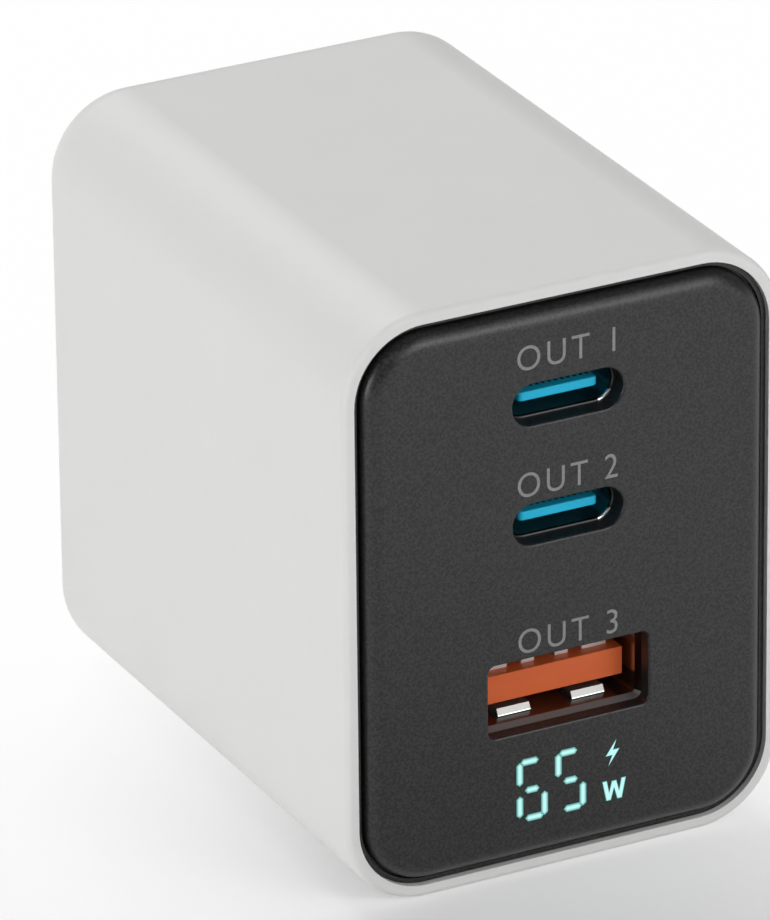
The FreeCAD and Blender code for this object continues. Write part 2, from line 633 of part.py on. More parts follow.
def digit_bars(x):
    reach_x = DIGIT_WIDTH / 2 - BAR_WIDTH / 2
    reach_z = DIGIT_HEIGHT / 2 - BAR_WIDTH / 2
    bars = []
    for level in (-1, 0, 1):
        level_z = around(DISPLAY_Z + level * reach_z, BAR_WIDTH)
        bars.append(box(around(x, 2 * reach_x - BAR_WIDTH - 2 * BAR_GAP), light_bar_span(), level_z))
    for side in (-1, 1):
        for half in (-1, 1):
            half_z = around(DISPLAY_Z + half * reach_z / 2, reach_z - BAR_GAP)
            bars.append(box(around(x + side * reach_x, BAR_WIDTH), light_bar_span(), half_z))
    return bars


def display_pins():
    y_span = (DISPLAY_FRONT_Y + DISPLAY_DEPTH, PORT_BOARD_Y)
    pins = []
    for z in row_of(2, DISPLAY_PIN_ROWS):
        for x in row_of(DISPLAY_PIN_COUNT, DISPLAY_PIN_PITCH):
            pins.append(box(around(x, PIN_SIZE), y_span, around(DISPLAY_Z + z, PIN_SIZE)))
    return pins


# Boards

def make_port_board():
    return case_slab(WALL + BOARD_CLEARANCE, (PORT_BOARD_Y, PORT_BOARD_BACK_Y))


def make_main_board():
    board_y = (PORT_BOARD_BACK_Y, BOARD_REAR_Y)
    return box(around(0, 2 * BOARD_HALF_WIDTH), board_y, (BOARD_Z, BOARD_TOP_Z))


def board_link_pins():
    pins = []
    for x in row_of(LINK_PIN_COUNT, LINK_PIN_PITCH):
        pin_x = around(x, PIN_SIZE)
        foot = box(
            pin_x,
            (PORT_BOARD_BACK_Y, PORT_BOARD_BACK_Y + LINK_PIN_LEG),
            (BOARD_TOP_Z, BOARD_TOP_Z + PIN_SIZE),
        )
        upright = box(
            pin_x,
            (PORT_BOARD_BACK_Y, PORT_BOARD_BACK_Y + PIN_SIZE),
            (BOARD_TOP_Z, BOARD_TOP_Z + LINK_PIN_LEG),
        )
        pins.append(joined([foot, upright]))
    return pins


# Power parts

def transformer_centre():
    x = PARTS_HALF_WIDTH - CORE_WIDTH / 2
    y = PARTS_FRONT_Y + WINDING_DEPTH / 2
    return Vector(x, y, BOARD_TOP_Z + TRANSFORMER_BASE)


def make_transformer_base():
    centre = transformer_centre()
    return box(around(centre.x, CORE_WIDTH), around(centre.y, WINDING_DEPTH), (BOARD_TOP_Z, centre.z))


def make_transformer_core():
    centre = transformer_centre()
    core_y = around(centre.y, CORE_DEPTH)
    core = box(around(centre.x, CORE_WIDTH), core_y, (centre.z, centre.z + CORE_HEIGHT))
    window_z = (centre.z + CORE_YOKE, centre.z + CORE_HEIGHT - CORE_YOKE)
    inner = CORE_CENTRE_LEG / 2
    outer = CORE_WIDTH / 2 - CORE_LEG
    windows = [
        box((centre.x - outer, centre.x - inner), core_y, window_z),
        box((centre.x + inner, centre.x + outer), core_y, window_z),
    ]
    return core.cut(windows)


def make_transformer_winding():
    centre = transformer_centre()
    width = CORE_WIDTH - 2 * CORE_LEG - 2 * WINDING_CLEARANCE
    winding_z = (centre.z + CORE_YOKE, centre.z + CORE_HEIGHT - CORE_YOKE)
    coil = box(around(centre.x, width), around(centre.y, WINDING_DEPTH), winding_z)
    coil = coil.makeFillet(WINDING_EDGE_RADIUS, upright_edges(coil))
    leg = box(around(centre.x, CORE_CENTRE_LEG), around(centre.y, CORE_DEPTH), winding_z)
    return coil.cut(leg)


def capacitor_can(diameter, height, foot, axis):
    """A rolled can with a rounded top and a crimp groove near its foot."""
    radius = diameter / 2
    groove_top = CAN_GROOVE_RISE + CAN_GROOVE_RADIUS
    half = [
        Part.makeLine(Vector(0, 0, 0), Vector(radius, 0, 0)),
        Part.makeLine(Vector(radius, 0, 0), Vector(radius, 0, CAN_GROOVE_RISE - CAN_GROOVE_RADIUS)),
        Part.Arc(
            Vector(radius, 0, CAN_GROOVE_RISE - CAN_GROOVE_RADIUS),
            Vector(radius - CAN_GROOVE_RADIUS, 0, CAN_GROOVE_RISE),
            Vector(radius, 0, groove_top),
        ).toShape(),
        Part.makeLine(Vector(radius, 0, groove_top), Vector(radius, 0, height)),
        Part.makeLine(Vector(radius, 0, height), Vector(0, 0, height)),
        Part.makeLine(Vector(0, 0, height), Vector(0, 0, 0)),
    ]
    can = Part.Face(Part.Wire(half)).revolve(Vector(0, 0, 0), Vector(0, 0, 1), 360)
    can = can.makeFillet(CAN_EDGE_RADIUS, edges_at_z(can, height)[:1])
    can.Placement = FreeCAD.Placement(foot, FreeCAD.Rotation(Vector(0, 0, 1), axis))
    return can


def bulk_capacitors():
    x = -PARTS_HALF_WIDTH + BULK_DIAMETER / 2
    pitch = BULK_DIAMETER + PART_CLEARANCE
    cans = []
    for index in range(BULK_COUNT):
        y = PARTS_FRONT_Y + BULK_DIAMETER / 2 + index * pitch
        cans.append(capacitor_can(BULK_DIAMETER, BULK_HEIGHT, Vector(x, y, BOARD_TOP_Z), Vector(0, 0, 1)))
    return cans


def output_capacitors():
    z = spreader_bottom() + SPREADER_SHEET + PART_CLEARANCE + OUTPUT_DIAMETER / 2
    cans = []
    for x in row_of(2, OUTPUT_SPACING):
        foot = Vector(transformer_centre().x + x, PORT_BOARD_BACK_Y, z)
        cans.append(capacitor_can(OUTPUT_DIAMETER, OUTPUT_LENGTH, foot, Vector(0, 1, 0)))
    return cans


def make_film_capacitor():
    film_x = (PARTS_HALF_WIDTH - FILM_WIDTH, PARTS_HALF_WIDTH)
    film_top = BOARD_TOP_Z + FILM_HEIGHT
    film = box(film_x, (REAR_PARTS_Y - FILM_LENGTH, REAR_PARTS_Y), (BOARD_TOP_Z, film_top))
    return film.makeFillet(FILM_EDGE_RADIUS, edges_at_z(film, film_top))


def choke_centre():
    y = REAR_PARTS_Y - CHOKE_WIRE - CHOKE_THICKNESS / 2
    z = BOARD_TOP_Z + CHOKE_WIRE + CHOKE_DIAMETER / 2
    return Vector(0, y, z)


def make_choke_core():
    centre = choke_centre()
    front = centre - Vector(0, CHOKE_THICKNESS / 2, 0)
    rear = centre + Vector(0, CHOKE_THICKNESS / 2, 0)
    return rod(CHOKE_DIAMETER / 2, front, rear).cut(rod(CHOKE_BORE / 2, front, rear))


def choke_windings():
    """Two banks of turns, each turn a closed loop around the ring's section."""
    centre = choke_centre()
    half_depth = CHOKE_THICKNESS / 2
    hole = box(
        (CHOKE_BORE / 2, CHOKE_DIAMETER / 2),
        (-half_depth, half_depth),
        around(0, CHOKE_WIRE),
    )
    turn = box(
        (CHOKE_BORE / 2 - CHOKE_WIRE, CHOKE_DIAMETER / 2 + CHOKE_WIRE),
        (-half_depth - CHOKE_WIRE, half_depth + CHOKE_WIRE),
        around(0, CHOKE_WIRE),
    ).cut(hole)
    core = make_choke_core()
    turns = []
    for bank in CHOKE_BANK_ANGLES:
        for step in row_of(CHOKE_TURN_COUNT, CHOKE_TURN_ANGLE):
            loop = turn.copy()
            loop.Placement = FreeCAD.Placement(centre, FreeCAD.Rotation(Vector(0, 1, 0), bank + step))
            turns.append(loop.cut(core))
    return turns


def make_bridge_rectifier():
    rear = BOARD_REAR_Y - PART_CLEARANCE
    bridge_z = (BOARD_TOP_Z, BOARD_TOP_Z + BRIDGE_HEIGHT)
    bridge_x = (PARTS_HALF_WIDTH - BRIDGE_WIDTH, PARTS_HALF_WIDTH)
    return box(bridge_x, (rear - BRIDGE_LENGTH, rear), bridge_z)


def make_fuse():
    rear = Vector(0, BOARD_REAR_Y, BOARD_TOP_Z + FUSE_DIAMETER / 2)
    return rod(FUSE_DIAMETER / 2, rear - Vector(0, FUSE_LENGTH, 0), rear)


def switch_centre_y():
    return (PORT_BOARD_BACK_Y + BOARD_REAR_Y) / 2


def power_switches():
    switches = []
    for x in row_of(2, SWITCH_SPACING):
        switch_z = (BOARD_Z - SWITCH_HEIGHT, BOARD_Z)
        switches.append(box(around(x, SWITCH_SIZE), around(switch_centre_y(), SWITCH_SIZE), switch_z))
    return switches


def make_thermal_pad():
    width = SWITCH_SPACING + SWITCH_SIZE + 2 * PAD_MARGIN
    length = SWITCH_SIZE + 2 * PAD_MARGIN
    return box(around(0, width), around(switch_centre_y(), length), (WALL, BOARD_Z - SWITCH_HEIGHT))


def spreader_bottom():
    return transformer_centre().z + CORE_HEIGHT


def make_heat_spreader():
    """A bent sheet that lies on the transformer and rises along the flat of the side wall."""
    centre = transformer_centre()
    sheet_y = around(centre.y, CORE_DEPTH)
    bottom = spreader_bottom()
    flat = box((centre.x - CORE_WIDTH / 2, INNER_HALF_WIDTH), sheet_y, (bottom, bottom + SPREADER_SHEET))
    wall_x = (INNER_HALF_WIDTH - SPREADER_SHEET, INNER_HALF_WIDTH)
    top = CASE_HEIGHT - CORNER_RADIUS - SPREADER_TOP_GAP
    upright = box(wall_x, sheet_y, (bottom, top))
    return joined([flat, upright])


# Folding plug, drawn folded

def make_plug_blade(x):
    blade_x = around(x, BLADE_THICKNESS)
    blade_y = (PLUG_AXIS_Y + BLADE_INNER, PLUG_AXIS_Y + BLADE_OUTER)
    plate = box(blade_x, blade_y, (BLADE_TIP_Z, PLUG_AXIS_HEIGHT))
    plate = plate.makeFillet(BLADE_TIP_RADIUS, edges_along_x(edges_at_z(plate, BLADE_TIP_Z)))
    hole_z = PLUG_AXIS_HEIGHT - PLUG_AXIS_DEPTH - BLADE_HOLE_REACH
    plate = plate.cut(rod_along_x(BLADE_HOLE_DIAMETER / 2, blade_x, sum(blade_y) / 2, hole_z))
    tail_y = (blade_y[0], blade_y[0] + BLADE_TAIL_WIDTH)
    tail = box(blade_x, tail_y, (PLUG_AXIS_HEIGHT, PLUG_AXIS_HEIGHT + BARREL_RADIUS))
    tail = tail.common(rod_along_x(BARREL_RADIUS, blade_x, PLUG_AXIS_Y, PLUG_AXIS_HEIGHT))
    return joined([plate, tail])


def make_plug_carrier():
    barrel_x = (-BARREL_HALF_LENGTH, BARREL_HALF_LENGTH)
    trunnion_reach = EAR_OUTER_X - BARREL_CLEARANCE
    barrel = rod_along_x(BARREL_RADIUS, barrel_x, PLUG_AXIS_Y, PLUG_AXIS_HEIGHT)
    trunnions = rod_along_x(TRUNNION_RADIUS, (-trunnion_reach, trunnion_reach), PLUG_AXIS_Y, PLUG_AXIS_HEIGHT)
    blades = [make_plug_blade(x) for x in BLADE_SIDES]
    return joined([barrel, trunnions]).cut(blades)


def make_plug_frame():
    plate_z = around(PLUG_AXIS_HEIGHT, 2 * CHANNEL_OUTER)
    plate = box((-FRAME_HALF_WIDTH, FRAME_HALF_WIDTH), (FRAME_INNER_Y, FRAME_Y), plate_z)
    saddles = []
    for side in (-1, 1):
        saddle_x = sorted((side * (CHANNEL_HALF_LENGTH + SADDLE_CLEARANCE), side * EAR_OUTER_X))
        saddles.append(box(saddle_x, (FRAME_Y, PLUG_AXIS_Y), around(PLUG_AXIS_HEIGHT, 2 * TRUNNION_RADIUS)))
    frame = joined([plate] + saddles)
    bearing = rod_along_x(
        TRUNNION_RADIUS + TRUNNION_CLEARANCE, (-EAR_OUTER_X, EAR_OUTER_X), PLUG_AXIS_Y, PLUG_AXIS_HEIGHT
    )
    holes = []
    for start in screw_places(FRAME_INNER_Y):
        holes.append(rod(SCREW_RADIUS + SCREW_CLEARANCE, start, start + Vector(0, FRAME_THICKNESS, 0)))
    return frame.cut([bearing] + holes)


def frame_screws():
    screws = []
    for seat in screw_places(FRAME_INNER_Y):
        shank = rod(SCREW_RADIUS, seat, seat + Vector(0, FRAME_THICKNESS + SCREW_LENGTH - SCREW_CLEARANCE, 0))
        head = rod(SCREW_HEAD_RADIUS, seat - Vector(0, SCREW_HEAD_HEIGHT, 0), seat)
        screws.append(joined([shank, head]))
    return screws


def make_contact_spring(x):
    """A leaf that presses on the blade's tail, runs down the frame and is soldered to the main board."""
    spring_x = around(x, SPRING_WIDTH)
    leaf = box(spring_x, (FRAME_Y, SPRING_BACK_Y), (BOARD_TOP_Z, PLUG_AXIS_HEIGHT + SPRING_TOP))
    foot = box(spring_x, (FRAME_Y - SPRING_FOOT, FRAME_Y), (BOARD_TOP_Z, BOARD_TOP_Z + SPRING_SHEET))
    return joined([leaf, foot])


# All pieces by name

def all_pieces():
    pieces = {"main_case": make_main_case(), "front_panel": make_front_panel()}
    for number, centre_z in enumerate(SLIM_PORT_CENTRES, start=1):
        port = f"slim_port_{number}"
        pieces[f"{port}_shell"] = make_slim_port_shell(centre_z)
        pieces[f"{port}_insulator"] = make_slim_port_insulator(centre_z)
        pieces[f"{port}_contacts"] = Part.makeCompound(slim_contact_strips(centre_z))
    pieces["wide_port_shell"] = make_wide_port_shell()
    pieces["wide_port_insulator"] = make_wide_port_insulator()
    pieces["wide_port_contacts"] = Part.makeCompound(wide_contact_strips())
    pieces["display_module"] = make_display_module()
    pieces["display_light_bars"] = Part.makeCompound(light_bars())
    pieces["display_pins"] = Part.makeCompound(display_pins())
    pieces["port_board"] = make_port_board()
    pieces["main_board"] = make_main_board()
    pieces["board_link_pins"] = Part.makeCompound(board_link_pins())
    pieces["transformer_base"] = make_transformer_base()
    pieces["transformer_core"] = make_transformer_core()
    pieces["transformer_winding"] = make_transformer_winding()
    pieces["bulk_capacitors"] = Part.makeCompound(bulk_capacitors())
    pieces["output_capacitors"] = Part.makeCompound(output_capacitors())
    pieces["film_capacitor"] = make_film_capacitor()
    pieces["choke_core"] = make_choke_core()
    pieces["choke_windings"] = Part.makeCompound(choke_windings())
    pieces["bridge_rectifier"] = make_bridge_rectifier()
    pieces["fuse"] = make_fuse()
    pieces["power_switches"] = Part.makeCompound(power_switches())
    pieces["thermal_pad"] = make_thermal_pad()
    pieces["heat_spreader"] = make_heat_spreader()
    pieces["plug_carrier"] = make_plug_carrier()
    pieces["plug_frame"] = make_plug_frame()
    pieces["frame_screws"] = Part.makeCompound(frame_screws())
    for side, x in zip(("left", "right"), BLADE_SIDES):
        pieces[f"plug_blade_{side}"] = make_plug_blade(x)
        pieces[f"contact_spring_{side}"] = make_contact_spring(x)
    return pieces


os.makedirs("parts", exist_ok=True)
for name, shape in all_pieces().items():
    print(name, "valid" if shape.isValid() else "INVALID", len(shape.Solids), round(shape.Volume, 3))
    shape.exportStep(f"parts/{name}.step")
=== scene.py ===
import bmesh
import bpy
import json
import math
from mathutils import Matrix, Vector


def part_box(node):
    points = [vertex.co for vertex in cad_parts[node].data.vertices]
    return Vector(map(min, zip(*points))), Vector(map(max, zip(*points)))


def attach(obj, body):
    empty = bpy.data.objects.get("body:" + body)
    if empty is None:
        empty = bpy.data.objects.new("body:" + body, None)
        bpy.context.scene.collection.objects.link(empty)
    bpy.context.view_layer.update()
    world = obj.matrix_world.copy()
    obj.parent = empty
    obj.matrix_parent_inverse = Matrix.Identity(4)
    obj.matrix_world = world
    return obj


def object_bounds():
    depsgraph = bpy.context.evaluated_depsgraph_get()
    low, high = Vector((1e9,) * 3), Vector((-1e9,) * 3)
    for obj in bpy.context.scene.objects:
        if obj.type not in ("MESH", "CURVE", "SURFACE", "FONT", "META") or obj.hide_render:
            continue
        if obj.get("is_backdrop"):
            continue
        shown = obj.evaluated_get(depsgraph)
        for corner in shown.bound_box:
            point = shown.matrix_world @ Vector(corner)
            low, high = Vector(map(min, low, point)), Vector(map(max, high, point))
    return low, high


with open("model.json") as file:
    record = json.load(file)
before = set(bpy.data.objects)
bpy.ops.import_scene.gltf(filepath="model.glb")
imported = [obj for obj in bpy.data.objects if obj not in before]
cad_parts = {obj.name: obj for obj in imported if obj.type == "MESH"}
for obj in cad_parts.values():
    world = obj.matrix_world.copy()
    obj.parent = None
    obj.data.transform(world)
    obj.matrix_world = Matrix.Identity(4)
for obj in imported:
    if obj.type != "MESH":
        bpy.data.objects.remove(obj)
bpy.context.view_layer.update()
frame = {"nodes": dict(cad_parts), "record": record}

# Lengths below are in millimetres unless a comment says otherwise
MM = 0.001

# Camera, round the middle of the case
VIEW_AZIMUTH = -27.067
VIEW_ELEVATION = 24.647
VIEW_ROLL = -0.622
VIEW_DISTANCE = 681.7
VIEW_SLIDE = (-1.5, -0.721)
VIEW_CENTRE = (0.0, 0.35, 22.8)
FOCAL_PIXELS = 9327.9
IMAGE_HEIGHT = 920
SENSOR = 36.0
NEAREST_SEEN = 50.0

# Studio light: place, point aimed at and edge in metres, power in watts
SKY_STRENGTH = 0.15
SOFTBOXES = {
    "key_box": ((-0.28, -0.39, 0.48), (0.0, -0.02, 0.03), 0.25, 0.2),
    "left_box": ((-0.70, -0.02, 0.15), (0.0, 0.0, 0.02), 0.3, 2.3),
    "back_box": ((0.03, 0.45, 0.55), (0.0, 0.0, 0.02), 0.4, 2.45),
    "high_bank": ((0.25, -0.40, 0.40), (0.0, -0.02, 0.03), 0.4, 0.7),
    "low_bank": ((0.18, -0.55, 0.29), (0.0, -0.02, 0.03), 0.3, 1.0),
    "low_box": ((0.14, -0.24, 0.05), (0.0, 0.0, 0.02), 0.12, 0.04),
}

# Floor: half its edge in metres, and its gap below the object
FLOOR_REACH = 3.0
FLOOR_GAP = 0.02

# Floor: share of plain white in the shade and away from it, the middle of the shade, and where it fades out
FLOOR_WHITE_NEAR = 0.2
FLOOR_WHITE_FAR = 0.97
FLOOR_SHADE_CENTRE = (-18.0, -45.0, 0.0)
FLOOR_WHITE_REACH = (10.0, 75.0)

# Printed labels: words, the port below them, how far the letters stand above its centre, and their width
LABELS = (
    ("OUT 1", "slim_port_1_shell", 2.77, 7.8),
    ("OUT 2", "slim_port_2_shell", 2.25, 8.0),
    ("OUT 3", "wide_port_shell", 3.37, 8.0),
)
LABEL_LEFT = -4.08
LABEL_HEIGHT = 1.88
LABEL_SPACING = 1.22
LABEL_THINNING = -0.004
PRINT_THICKNESS = 0.03
PRINT_SINK = 0.01

# Spring fingers of the wide port: how far they lie to each side, and the band of plain wall round them
FINGER_REACH = 4.7
FINGER_BAND = 0.36

# Depth below the face to which the mouths of the port shells are darkened with painted shade
LIP_DEPTH = 1.68

# Height of the painted sheen strip along the lower lip of the wide port, paler than the painted shade round
# it
LOW_LIP = 0.5

# Right-hand bends of the slim ports' lower lips, painted bright to give a painted glint: how far from the
# middle they begin, and their share of the port's height
SLIM_SHELLS = ("slim_port_1_shell", "slim_port_2_shell")
BEND_START = 3.15
BEND_SHARE = 0.25

# Bands of tape on the winding, end caps of the fuse
TAPE_BAND = 1.6
FUSE_CAP = 1.4

# Turn of all noise against the axes, in radians, so that it shows no grid on flat faces
NOISE_TURN = (0.5, 0.8, 0.3)

# Readout, with heights measured from its centre
DIGIT_CENTRES = (-3.02, 0.1)
BAR_WIDTH = 0.55
BAR_POINT = 0.8
BAR_CORE = 0.2
UNIT_CORE = 0.1
UNIT_CENTRE = (3.64, -1.67)
UNIT_SIZE = (1.94, 1.61)
UNIT_HALF = (
    (0.0, 0.45), (0.1, 0.45), (0.21, -0.12), (0.3, 0.5), (0.5, 0.5), (0.33, -0.5), (0.13, -0.5), (0.0, 0.1),
)
BOLT_CENTRE = (3.5, 1.3)
BOLT_SIZE = (2.35, 2.05)
BOLT_OUTLINE = ((0.14, 0.5), (-0.24, -0.1), (-0.01, -0.1), (-0.14, -0.5), (0.25, 0.12), (0.03, 0.12))

# Bars of a digit: centre measured from the middle of the digit, length, and whether it stands upright
BARS = {
    "top": ((-0.2, 2.2), 1.5, False),
    "middle": ((0.0, -0.07), 1.2, False),
    "bottom": ((0.18, -2.3), 1.5, False),
    "upper_left": ((-1.0, 1.3), 1.9, True),
    "lower_left": ((-1.0, -1.3), 1.75, True),
    "lower_right": ((1.0, -1.4), 1.95, True),
}
SIX = ("top", "upper_left", "middle", "lower_left", "lower_right", "bottom")
FIVE = ("top", "upper_left", "middle", "lower_right", "bottom")


# Shader maths

class Signal:
    """A shader socket that takes part in sums. Each sum adds a Math node."""

    def __init__(self, finish, socket):
        self.finish = finish
        self.socket = socket

    def maths(self, operation, first, second):
        return self.finish.add("ShaderNodeMath", {"operation": operation}, {0: first, 1: second})

    def __add__(self, other):
        return self.maths("ADD", self, other)

    def __radd__(self, other):
        return self.maths("ADD", other, self)

    def __sub__(self, other):
        return self.maths("SUBTRACT", self, other)

    def __rsub__(self, other):
        return self.maths("SUBTRACT", other, self)

    def __mul__(self, other):
        return self.maths("MULTIPLY", self, other)

    def __rmul__(self, other):
        return self.maths("MULTIPLY", other, self)

    def __gt__(self, other):
        return self.maths("GREATER_THAN", self, other)

    def __lt__(self, other):
        return self.maths("LESS_THAN", self, other)


class Finish:
    """A material in the making, with one main shader at its end."""

    def __init__(self, name):
        self.material = bpy.data.materials.new(name)
        self.material.use_nodes = True
        self.tree = self.material.node_tree
        self.tree.nodes.clear()
        self.shader = self.tree.nodes.new("ShaderNodeBsdfPrincipled")
        output = self.tree.nodes.new("ShaderNodeOutputMaterial")
        self.tree.links.new(self.shader.outputs["BSDF"], output.inputs["Surface"])
        self.place = self.add("ShaderNodeTexCoord", {}, {}, "Object")

    def add(self, kind, settings, inputs, output=0):
        node = self.tree.nodes.new(kind)
        for name, value in settings.items():
            setattr(node, name, value)
        for name, value in inputs.items():
            self.feed(node.inputs[name], value)
        return Signal(self, node.outputs[output])

    def feed(self, socket, value):
        if isinstance(value, Signal):
            self.tree.links.new(value.socket, socket)
        else:
            socket.default_value = value

    def surface(self, **inputs):
        """Feeds the main shader: base_color becomes Base Color and so on."""
        for name, value in inputs.items():
            self.feed(self.shader.inputs[name.replace("_", " ").title().replace("Ior", "IOR")], value)
        return self.material

    def noise(self, size, detail=2.0, stretch=(1, 1, 1)):
        """Cloudy noise from 0 to 1, with lumps about as large as size in millimetres."""
        scale = tuple(1 / (share * size * MM) for share in stretch)
        inputs = {"Vector": self.place, "Rotation": NOISE_TURN, "Scale": scale}
        spread = self.add("ShaderNodeMapping", {}, inputs)
        return self.add("ShaderNodeTexNoise", {}, {"Vector": spread, "Scale": 1.0, "Detail": detail}, "Fac")

    def cells(self, size):
        """Distance to the nearest of scattered points about size millimetres apart."""
        return self.add(
            "ShaderNodeTexVoronoi", {}, {"Vector": self.place, "Scale": 1 / (size * MM)}, "Distance"
        )

    def blend(self, factor, first, second):
        return self.add("ShaderNodeMix", {"data_type": "RGBA"}, {0: factor, 6: first, 7: second}, 2)

    def relief(self, height, depth, strength=1.0):
        """A bump whose full height is depth millimetres."""
        return self.add(
            "ShaderNodeBump", {}, {"Height": height, "Distance": depth * MM, "Strength": strength}, "Normal"
        )

    def along(self, axis):
        """Place along one axis, in millimetres."""
        parts = self.add("ShaderNodeSeparateXYZ", {}, {0: self.place}, axis)
        return parts * (1 / MM)


def grey(value):
    return (value, value, value, 1)


def tint(red, green, blue):
    return (red, green, blue, 1)


# Finishes of the outside

def case_white():
    """Fine spark-eroded white moulding, a touch uneven in tone."""
    finish = Finish("case_white")
    clouds = finish.noise(7.0, 3.0)
    grain = finish.noise(0.16, 2.0)
    colour = finish.blend(clouds, tint(0.735, 0.735, 0.725), tint(0.765, 0.765, 0.757))
    speckled = finish.blend(grain * 0.12, colour, tint(0.67, 0.67, 0.66))
    return finish.surface(
        base_color=speckled,
        roughness=0.5 + grain * 0.14,
        normal=finish.relief(grain, 0.010, 0.6),
    )


def panel_black():
    """Sandblasted black moulding: a dark ground with paler specks and a fine bump."""
    finish = Finish("panel_black")
    grain = finish.noise(0.13, 3.0)
    specks = finish.noise(0.2, 1.0)
    clouds = finish.noise(5.0, 2.0)
    ground = finish.blend(clouds, grey(0.002), grey(0.004))
    colour = finish.blend((specks - 0.36) * 3.6, ground, grey(0.021))
    return finish.surface(
        base_color=colour,
        roughness=0.28 + grain * 0.16,
        normal=finish.relief(grain, 0.016, 0.6),
    )


def plug_white():
    """The same white as the case, smoother because it turns in its bay."""
    finish = Finish("plug_white")
    clouds = finish.noise(5.0, 2.0)
    grain = finish.noise(0.2, 2.0)
    rub = finish.noise(1.2, 3.0, (6.0, 1.0, 1.0))
    return finish.surface(
        base_color=finish.blend(clouds, tint(0.74, 0.74, 0.73), tint(0.775, 0.775, 0.765)),
        roughness=0.32 + rub * 0.18,
        normal=finish.relief(grain, 0.006, 0.5),
    )


def label_print():
    """Thin pad-printed grey ink that breaks up a little over the grain."""
    finish = Finish("label_print")
    wear = finish.noise(0.14, 3.0)
    return finish.surface(
        base_color=finish.blend(wear, grey(0.14), grey(0.34)),
        roughness=0.5 + wear * 0.2,
        normal=finish.relief(wear, 0.008, 0.6),
    )


def readout_light():
    """Lit bars: pale at the core, deeper green-blue at the edge."""
    finish = Finish("readout_light")
    core = finish.add("ShaderNodeAttribute", {"attribute_name": "core"}, {}, "Fac")
    shimmer = finish.noise(0.3, 2.0)
    edge = finish.blend(shimmer, tint(0.05, 0.28, 0.23), tint(0.07, 0.36, 0.29))
    glow = finish.blend(core * (0.5 + core * 0.5), edge, tint(0.50, 0.93, 0.92))
    return finish.surface(
        base_color=grey(0.02),
        roughness=0.5 + shimmer * 0.1,
        emission_color=glow,
        emission_strength=1.0,
    )


# Finishes of the ports and the plug

def port_blue():
    """Glossy blue tongue, with flow marks from its mould."""
    finish = Finish("port_blue")
    flow = finish.noise(1.6, 2.0, (3.0, 1.0, 1.0))
    grain = finish.noise(0.09, 2.0)
    return finish.surface(
        base_color=finish.blend(flow, tint(0.013, 0.51, 0.80), tint(0.020, 0.61, 0.91)),
        roughness=0.3 + grain * 0.14,
        specular_ior_level=0.25,
        normal=finish.relief(grain, 0.004, 0.5),
    )


def port_orange():
    """Glossy orange tongue, with flow marks from its mould."""
    finish = Finish("port_orange")
    flow = finish.noise(2.2, 2.0, (3.0, 1.0, 1.0))
    grain = finish.noise(0.1, 2.0)
    return finish.surface(
        base_color=finish.blend(flow, tint(0.71, 0.125, 0.031), tint(0.82, 0.165, 0.045)),
        roughness=0.28 + grain * 0.14,
        specular_ior_level=0.3,
        normal=finish.relief(grain, 0.004, 0.5),
    )


def rolled_metal(name, dark, pale, roughness, stretch):
    """Plated sheet or wire with fine drawn lines along its length."""
    finish = Finish(name)
    lines = finish.noise(0.06, 2.0, stretch)
    haze = finish.noise(1.5, 3.0)
    return finish.surface(
        base_color=finish.blend(haze, dark, pale),
        metallic=1.0,
        roughness=roughness + lines * 0.16,
        normal=finish.relief(lines, 0.003, 0.5),
    )


def shell_steel():
    """Nickel plate with painted shade at the mouths, brighter on the spring fingers, a painted sheen along
    the wide port's lower lip and a painted glint on the slim ports' lower right-hand bends.
    """
    finish = Finish("shell_steel")
    low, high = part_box("wide_port_shell")
    middle = (low.z + high.z) / 2 / MM
    bore = (high.z - low.z) / 2 / MM - FINGER_BAND
    aside = finish.add("ShaderNodeMath", {"operation": "ABSOLUTE"}, {0: finish.along("X")})
    height = finish.add("ShaderNodeMath", {"operation": "ABSOLUTE"}, {0: finish.along("Z") - middle})
    fingers = (aside < FINGER_REACH) * (height < bore)
    # Painted shade: the shell is darkened near the face, where its mouth lies in shade
    lip = finish.along("Y") < field_surface() / MM + LIP_DEPTH
    # Painted sheen: a paler, rougher strip along the wide port's lower lip, within the painted shade
    painted_sheen_low_lip = lip * (finish.along("Z") < low.z / MM + LOW_LIP)
    # Painted glint: the right-hand bends of the slim ports' lower lips are made bright
    painted_glint_bends = lip * (finish.along("X") > BEND_START) * slim_port_floors(finish)
    lines = finish.noise(0.06, 2.0, (1.0, 14.0, 1.0))
    plate = finish.blend(lines, grey(0.46), tint(0.58, 0.575, 0.565))
    # Painted shade (grey 0.035) at the mouths, and a painted glint (grey 0.72) on the slim ports' right-hand
    # bends
    painted_light_mouths = finish.blend(painted_glint_bends, finish.blend(lip, plate, grey(0.035)), grey(0.72))
    nickel = finish.blend(painted_sheen_low_lip, painted_light_mouths, grey(0.27))
    return finish.surface(
        base_color=finish.blend(fingers, nickel, tint(0.42, 0.415, 0.40)),
        metallic=1.0,
        roughness=0.16 + lines * 0.12 + painted_sheen_low_lip * 0.4 + fingers * 0.26,
        normal=finish.relief(lines, 0.003, 0.5),
    )


def slim_port_floors(finish):
    """One at the lower lip of each slim port, and nought elsewhere."""
    height = finish.along("Z")
    floors = 0.0
    for name in SLIM_SHELLS:
        low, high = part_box(name)
        top = low.z + (high.z - low.z) * BEND_SHARE
        floors = floors + (height > low.z / MM) * (height < top / MM)
    return floors


def contact_gold():
    dark = tint(0.74, 0.52, 0.20)
    return rolled_metal("contact_gold", dark, tint(0.86, 0.66, 0.30), 0.16, (1.0, 10.0, 1.0))


def contact_silver():
    return rolled_metal("contact_silver", grey(0.88), tint(0.95, 0.94, 0.91), 0.58, (1.0, 10.0, 1.0))


